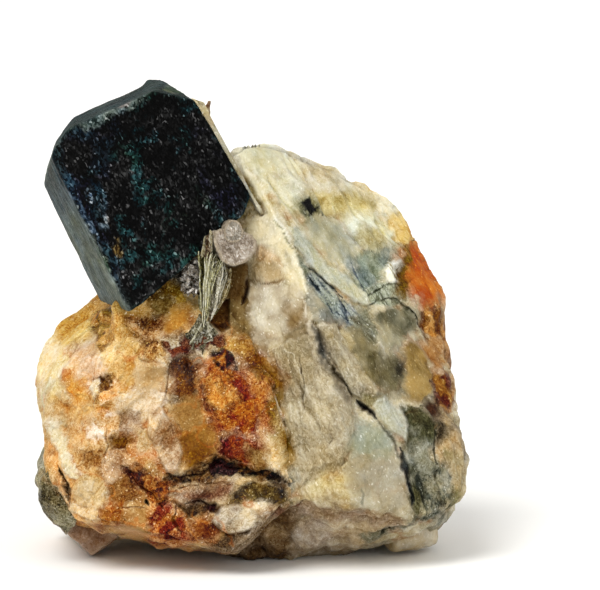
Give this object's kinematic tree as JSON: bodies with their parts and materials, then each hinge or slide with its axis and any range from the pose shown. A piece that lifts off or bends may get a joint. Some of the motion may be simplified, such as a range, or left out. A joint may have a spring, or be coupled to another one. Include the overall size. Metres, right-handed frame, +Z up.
{
  "type": "triphylite mineral specimen",
  "caption": "Blocky dark blue-green triphylite crystal leaning on a broken block of feldspar and iron-stained quartz, with a fan and a flake of mica beside it.",
  "frame": {"origin": "under the middle of the bounding box, in the plane of the flats the specimen rests on", "axes": "+X to the right in the front view, +Y away from the viewer, +Z up"},
  "size_m": [0.056, 0.0422, 0.0625],
  "materials": {
    "pegmatite": "broken feldspar and quartz with rust staining",
    "mica_book": "glassy edges of stacked mica leaves",
    "mica_flake": "pearly cleaved mica",
    "triphylite": "dark, finely pitted crystal faces with a dull gloss"
  },
  "bodies": {
    "root": {"matrix": "pegmatite", "mica_book": "mica_book", "mica_flake": "mica_flake", "triphylite_crystal": "triphylite"}
  },
  "joints": []
}
